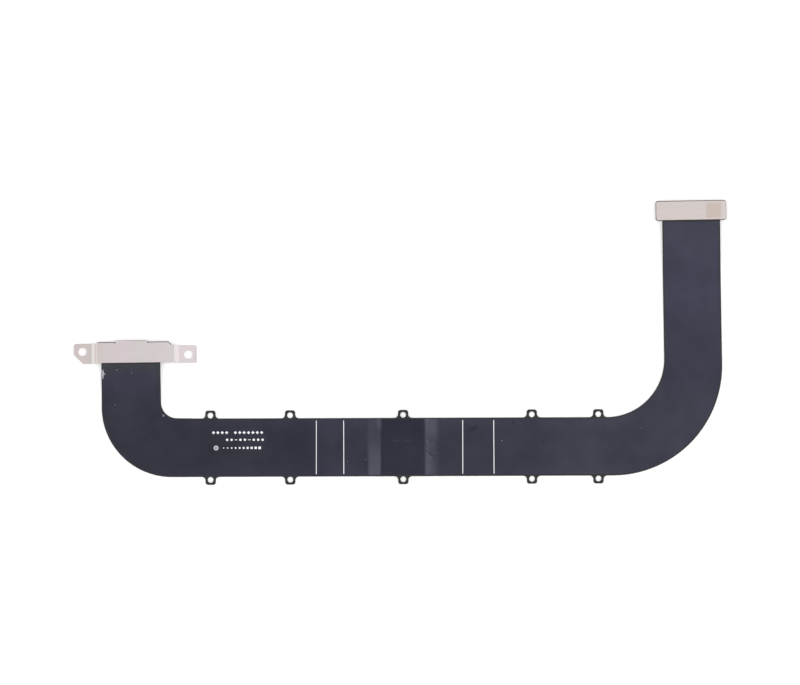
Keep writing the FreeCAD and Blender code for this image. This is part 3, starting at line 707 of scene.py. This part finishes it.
def inspection_marks():
    """Three rows of the printer's check marks: diamonds, dots with dashes, and an aiming ring with a step wedge."""
    shapes = []
    start, row, pitch = DIAMONDS
    for i in range(12):
        if i != 4:
            shapes.append(spot(start + pitch * i, row, DIAMOND_HALF, 4))
    start, row, pitch = DOTS
    for i in range(9):
        x = start + pitch * i
        if i in (2, 5):
            shapes.append(bar(x - DASH_HALF, x + DASH_HALF, row - INK_STROKE / 2, row + INK_STROKE / 2))
        else:
            shapes.append(spot(x, row, DOT_HALF, 16))
    shapes += ring(*AIM, AIM_R, AIM_R - INK_STROKE)
    shapes.append(spot(*AIM, AIM_DOT_R, 12))
    start, row, pitch = WEDGE
    for i in range(10):
        half = 0.09 + 0.016 * i
        shapes.append(bar(start + pitch * i - half, start + pitch * i + half, row - half, row + half))
    printed("inspection_marks", shapes)


def sliver(points, widths):
    """A thin tapering mark along a few points, as a run of narrow quads."""
    points = [np.array(p, float) for p in points]
    out = []
    for (a, wa), (b, wb) in zip(zip(points, widths), zip(points[1:], widths[1:])):
        side = np.array((-(b - a)[1], (b - a)[0]))
        side /= np.linalg.norm(side)
        out.append([a - side * wa / 2, b - side * wb / 2, b + side * wb / 2, a + side * wa / 2])
    return out


def flake(x, y, size, turn):
    """A grain of dust with uneven sides."""
    return [(x + size * r * math.cos(turn + FLAKE_TURN * k), y + size * r * math.sin(turn + FLAKE_TURN * k))
            for k, r in enumerate(FLAKE_REACH)]


def handling_marks():
    """What use has left: worn spot, chip and dust, faint lines rubbed over the hinge, and traces of oil beside it; and
    painted highlight lines along the strap's lower edge.
    """
    shapes = [part for points, widths in NICKS for part in sliver(points, widths)]
    printed("dust_and_nicks", shapes + [flake(*grain) for grain in CHIP + DUST], LINT, 0.01)
    shapes = []
    # rubbed streaks, and painted highlight lines along the strap's lower edge
    for points, width in RUBS_AND_HIGHLIGHT_LINES:
        last = len(points) - 1
        shapes += sliver(points, [width * (0.4 if i in (0, last) else 1.0) for i in range(last + 1)])
    printed("rub_marks_and_highlight_lines", shapes, RUBBED_AND_HIGHLIGHT, 0.004)
    printed("oily_smudges", [flake(*mark) for mark in SMUDGES], SMUDGED, 0.003)


def mesh_points(mesh):
    points = np.empty(3 * len(mesh.vertices))
    mesh.vertices.foreach_get("co", points)
    return points.reshape(-1, 3)


def evaluated_mesh(piece):
    """The piece's mesh with its modifiers applied."""
    bpy.context.view_layer.update()
    return bpy.data.meshes.new_from_object(piece.evaluated_get(bpy.context.evaluated_depsgraph_get()))


def dressed(name, cad_node, material, ease=0.025, segments=2):
    """A copy of a CAD node with its doubles merged and its edges broken as pressing or moulding leaves them."""
    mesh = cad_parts[cad_node].data.copy()
    mesh.name = name
    work = bmesh.new()
    work.from_mesh(mesh)
    bmesh.ops.remove_doubles(work, verts=work.verts, dist=1e-7)
    bmesh.ops.dissolve_limit(work, angle_limit=math.radians(0.5), verts=work.verts, edges=work.edges)
    work.to_mesh(mesh)
    work.free()
    mesh.materials.clear()
    mesh.materials.append(material)
    piece = new_object(name, mesh)
    bevel = piece.modifiers.new("broken_edge", "BEVEL")
    bevel.width = ease * MM
    bevel.segments = segments
    bevel.limit_method = "ANGLE"
    bevel.angle_limit = math.radians(40)
    bevel.use_clamp_overlap = False
    mesh.polygons.foreach_set("use_smooth", np.ones(len(mesh.polygons), bool))
    even = piece.modifiers.new("flats_stay_flat", "WEIGHTED_NORMAL")
    even.weight = 100
    made = evaluated_mesh(piece)
    piece.modifiers.clear()
    piece.data = made
    made.name = name
    # rounding moves a bevelled corner by a hair, and it stays inside the solid's box
    low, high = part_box(cad_node)
    made.vertices.foreach_set("co", np.clip(mesh_points(made), low, high).ravel())
    made.update()
    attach(piece, "root")
    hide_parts(cad_node)


def row_tree():
    """Geometry nodes that repeat one piece along X about the middle."""
    tree = bpy.data.node_groups.new("row_along_x", "GeometryNodeTree")
    for name, kind in (("Piece", "NodeSocketGeometry"), ("Count", "NodeSocketInt"),
                       ("Pitch", "NodeSocketFloat"), ("Finish", "NodeSocketMaterial")):
        tree.interface.new_socket(name, in_out="INPUT", socket_type=kind)
    tree.interface.new_socket("Row", in_out="OUTPUT", socket_type="NodeSocketGeometry")
    given = node(tree, "NodeGroupInput")
    length = maths(tree, "MULTIPLY", maths(tree, "SUBTRACT", given.outputs["Count"], 1.0), given.outputs["Pitch"])
    start = node(tree, "ShaderNodeCombineXYZ", {}, {"X": maths(tree, "MULTIPLY", length, -0.5)})
    step = node(tree, "ShaderNodeCombineXYZ", {}, {"X": given.outputs["Pitch"]})
    line = node(tree, "GeometryNodeMeshLine", {"mode": "OFFSET"},
                {"Count": given.outputs["Count"], "Start Location": start.outputs[0], "Offset": step.outputs[0]})
    placed = node(tree, "GeometryNodeInstanceOnPoints", {},
                  {"Points": line.outputs[0], "Instance": given.outputs["Piece"]})
    real = node(tree, "GeometryNodeRealizeInstances", {}, {"Geometry": placed.outputs[0]})
    done = node(tree, "GeometryNodeSetMaterial", {},
                {"Geometry": real.outputs[0], "Material": given.outputs["Finish"]})
    node(tree, "NodeGroupOutput", {}, {"Row": done.outputs[0]})
    return tree


ROW = row_tree()


def clip_outline(outside, inside_face, tail, sheet, crest, inner_end):
    """A formed strip seen edge on: solder tail, down the outside of a wall, over its rim and up the groove."""
    bend, tight = 1.4 * sheet, 0.35 * sheet
    return rounded(
        [(outside + tail, 0), (outside + tail, -sheet), (outside, -sheet), (outside, -crest), (inside_face, -crest),
         (inside_face, -inner_end), (inside_face + sheet, -inner_end), (inside_face + sheet, sheet - crest),
         (outside - sheet, sheet - crest), (outside - sheet, 0)],
        [0, 0, tight, bend, bend, tight, tight, tight, tight, bend], step=9.0, least=3)


def swept(name, outline, width, across):
    """The strip's outline given its width; across is 'x' for contacts and 'y' for hold-downs."""
    count = len(outline)
    points = []
    for side in (-width / 2, width / 2):
        points += [(side, a, b) if across == "x" else (a, side, b) for a, b in outline]
    faces = [list(range(count)), list(range(count, 2 * count))[::-1]]
    faces += [(i, (i + 1) % count, count + (i + 1) % count, count + i) for i in range(count)]
    mesh = bpy.data.meshes.new(name)
    mesh.from_pydata((np.array(points) * MM).tolist(), [], faces)
    work = bmesh.new()
    work.from_mesh(mesh)
    bmesh.ops.recalc_face_normals(work, faces=work.faces)
    work.to_mesh(mesh)
    work.free()
    return mesh


def set_in_plug(name, mesh, seat, flip, cad_node):
    """Puts a plug's part in its place; flip is the sign of X and Y for the mirrored side."""
    mesh.vertices.foreach_set("co", to_frame(seat(mesh_points(mesh) / MM * (*flip, 1))).ravel())
    if flip[0] * flip[1] < 0:
        mesh.flip_normals()
    mesh.polygons.foreach_set("use_smooth", np.ones(len(mesh.polygons), bool))
    mesh.set_sharp_from_angle(angle=math.radians(50))
    mesh.update()
    piece = new_object(name, mesh)
    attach(piece, "root")
    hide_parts(cad_node)


def left_seat(points):
    x, y = turned_head(LEFT_PLUG_X + points[:, 0], LEFT_PLUG_Y + points[:, 1])
    return np.column_stack((x, y, points[:, 2] + HEAD_LEVEL))


def right_seat(points):
    x, y = leg_to_drawing(points[:, 0], RIGHT_PLUG_Y + points[:, 1])
    return np.column_stack((x, y, points[:, 2] + HEAD_LEVEL))


def plug_metal(plug, seat):
    """Two rows of contacts, repeated by the row tree, and the hold-down at each end."""
    half_width = PLUG_WIDTH / 2
    inside_face = half_width - 2 * CONTACT_SHEET - PLUG_WALL
    outline = clip_outline(half_width, inside_face, CONTACT_TAIL, CONTACT_SHEET,
                           HEAD_LEVEL - CREST_SETBACK, GROOVE_FLOOR)
    for part, flip in (("rear_contacts", (1, 1)), ("front_contacts", (1, -1))):
        base = new_object("one_contact", swept("one_contact", outline, CONTACT_WIDTH, "x"))
        row = base.modifiers.new("row", "NODES")
        row.node_group = ROW
        sockets = {item.name: item.identifier for item in ROW.interface.items_tree if item.in_out == "INPUT"}
        row[sockets["Count"]] = CONTACTS
        row[sockets["Pitch"]] = CONTACT_PITCH * MM
        row[sockets["Finish"]] = GOLD
        made = evaluated_mesh(base)
        bpy.data.objects.remove(base)
        set_in_plug(plug + "_" + part.replace("contacts", "strips"), made, seat, flip, plug + "_" + part)
    half_length = PLUG_LENGTH / 2
    outline = clip_outline(half_length, half_length - HOLD_SEAT - HOLD_SHEET, HOLD_TAIL, HOLD_SHEET,
                           HEAD_LEVEL, GROOVE_FLOOR)
    for part, flip in (("right_hold_down", (1, 1)), ("left_hold_down", (-1, 1))):
        mesh = swept(part, outline, HOLD_WIDTH, "y")
        mesh.materials.append(GOLD)
        set_in_plug(plug + "_" + part.replace("hold_down", "clip"), mesh, seat, flip, plug + "_" + part)


# ---------------------------------------------------------------- studio


# brightness of the studio by direction: sideways, and towards the back
SIDE_BOXES = ((-1, .95), (-.6, 1.0), (-.38, 1.0), (-.3, 1.05), (-.24, 1.0), (-.17, .229), (-.1, .115), (0, .115),
              (.07, .286), (.13, .6), (.2, .88), (.26, 1.03), (.38, 1.05), (.6, 1.0), (1, .95))
FRONT_BOX = ((-1, .08), (-.8, .2), (-.5, .3), (-.3, .057), (-.2, 0), (.4, 0), (1, .05))
SKY_STRENGTH = 1.15
LOW_SKY = (0.15, 0.65, 0.42)   # sine of the height where the dull band ends and the boxes begin, and its share
TABLE_GLOW, TABLE_WHITE = 0.34, 0.86     # what the table shines of itself, and what it throws back
TABLE_HALF, TABLE_LEVEL = 3.0, -0.00002  # metres
VIEW_MIDDLE = (-0.5212, 19.3347, 0.0)    # drawing point that the camera stands over
VIEW_HEIGHT, VIEW_WIDTH, VIEW_ROLL = 0.6, 0.148, -0.21      # metres, metres and degrees


def studio():
    """White table, soft light from above and both sides, and the camera straight overhead."""
    scene = bpy.context.scene
    scene.view_settings.view_transform = "Standard"

    material, tree = new_material("white_table")
    path = node(tree, "ShaderNodeLightPath").outputs
    seen = maths(tree, "MAXIMUM", maths(tree, "MAXIMUM", path["Is Camera Ray"], path["Is Glossy Ray"]),
                 path["Is Transmission Ray"])
    white = node(tree, "ShaderNodeEmission", {},
                 {"Color": (1, 1, 1, 1), "Strength": maths(tree, "MULTIPLY", seen, TABLE_GLOW)})
    paper = node(tree, "ShaderNodeBsdfDiffuse", {}, {"Color": (TABLE_WHITE, TABLE_WHITE, TABLE_WHITE, 1)})
    both = node(tree, "ShaderNodeAddShader", {}, {0: white.outputs[0], 1: paper.outputs[0]})
    # from below the table is clear, so that the underside can be seen
    clear = node(tree, "ShaderNodeBsdfTransparent")
    facing = node(tree, "ShaderNodeNewGeometry").outputs["Backfacing"]
    finish_material(tree, node(tree, "ShaderNodeMixShader", {}, {0: facing, 1: both.outputs[0], 2: clear.outputs[0]}))
    mesh = bpy.data.meshes.new("table")
    mesh.from_pydata([(x * TABLE_HALF, y * TABLE_HALF, TABLE_LEVEL) for x, y in ((-1, -1), (1, -1), (1, 1), (-1, 1))],
                     [], [(0, 1, 2, 3)])
    mesh.materials.append(material)
    table = new_object("table", mesh)

    world = bpy.data.worlds.new("studio")
    world.use_nodes = True
    scene.world = world
    tree = world.node_tree
    tree.nodes.clear()
    direction = node(tree, "ShaderNodeTexCoord").outputs["Generated"]
    split = node(tree, "ShaderNodeSeparateXYZ", {}, {"Vector": direction}).outputs
    # two long softboxes, one each side, with the dark of the room overhead, and a low one in front
    boxes, low_box = (ramp(tree, maths(tree, "MULTIPLY_ADD", split[axis], 0.5, 0.5),
                           [(0.5 + 0.5 * way, light) for way, light in lights])
                      for axis, lights in (("X", SIDE_BOXES), ("Y", FRONT_BOX)))
    # the softboxes stand above the table, and the room is duller low down
    high_up = remap(tree, split["Z"], LOW_SKY[0], LOW_SKY[1], LOW_SKY[2] * SKY_STRENGTH, SKY_STRENGTH, smooth=True)
    soft = node(tree, "ShaderNodeBackground", {},
                {"Color": blend(tree, 1.0, boxes, low_box, "ADD"), "Strength": high_up})
    plain = node(tree, "ShaderNodeBackground", {}, {"Color": (1, 1, 1, 1), "Strength": 1.0})
    seen = node(tree, "ShaderNodeLightPath").outputs["Is Camera Ray"]
    mix = node(tree, "ShaderNodeMixShader", {}, {0: seen, 1: soft.outputs[0], 2: plain.outputs[0]})
    node(tree, "ShaderNodeOutputWorld", {}, {"Surface": mix.outputs[0]})

    def softbox(name, place, size, watts):
        lamp = bpy.data.lights.new(name, "AREA")
        lamp.shape = "RECTANGLE"
        lamp.size, lamp.size_y = size
        lamp.energy = watts
        box = new_object(name, lamp)
        box.location = place
        box.rotation_euler = (-Vector(place)).to_track_quat("-Z", "Y").to_euler()

    softbox("left_softbox", (-0.75, 0.1, 0.7), (0.7, 1.2), 1.0)
    softbox("right_softbox", (0.75, 0.2, 0.7), (0.7, 1.2), 1.3)

    # the photograph is taken straight down; the strap rises a little to the right in it
    lens = bpy.data.cameras.new("camera")
    lens.sensor_width = 36.0
    lens.lens = lens.sensor_width * VIEW_HEIGHT / VIEW_WIDTH
    lens.clip_start, lens.clip_end = 0.01, 10.0
    camera = new_object("camera", lens)
    middle = to_frame([VIEW_MIDDLE])[0]
    camera.location = (middle[0], middle[1], VIEW_HEIGHT)
    camera.rotation_euler = (0, 0, math.radians(VIEW_ROLL))
    scene.camera = camera


film_sheet()
bend_lines()
inspection_marks()
handling_marks()
dressed("hold_bracket", "screw_bracket", PLATE, 0.05, 3)
dressed("head_cap", "connector_cap", CAP_PLATE)
for plug, seat in (("left_plug", left_seat), ("right_plug", right_seat)):
    dressed(plug + "_body", plug + "_housing", POLYMER, 0.02)
    plug_metal(plug, seat)
studio()
